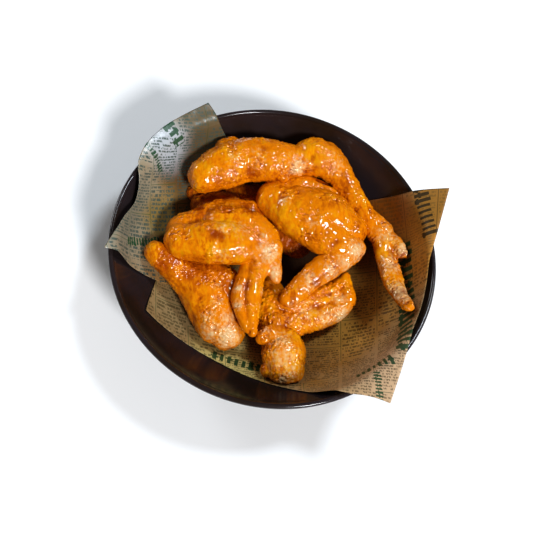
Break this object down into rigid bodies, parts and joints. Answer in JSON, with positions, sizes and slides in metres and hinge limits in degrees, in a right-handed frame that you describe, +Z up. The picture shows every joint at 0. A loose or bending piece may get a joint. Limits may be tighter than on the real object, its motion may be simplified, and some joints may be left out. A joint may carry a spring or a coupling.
{
  "type": "chicken wings serving",
  "caption": "Glazed chicken wings heaped in a dark round flared bowl on two sheets of printed greaseproof paper whose corners stand out over the rim.",
  "frame": {"origin": "centre of the flat underside of the bowl's foot", "axes": "+Z up out of the bowl, +X towards the side where the right liner's two corners stand out, +Y towards the far side, where the top wing lies along the wall"},
  "size_m": [0.2498, 0.2498, 0.0781],
  "materials": {
    "bowl_glaze": "near-black gloss glaze",
    "printed_paper": "waxed brown paper with small green print",
    "glazed_skin": "wet orange glaze on fried skin"
  },
  "bodies": {
    "root": {"bowl": "bowl_glaze", "liner_left": "printed_paper", "liner_right": "printed_paper", "wing_top": "glazed_skin", "wing_right": "glazed_skin", "wing_left": "glazed_skin", "wing_lower_left": "glazed_skin", "wing_lower": "glazed_skin", "wing_under": "glazed_skin"}
  },
  "joints": []
}
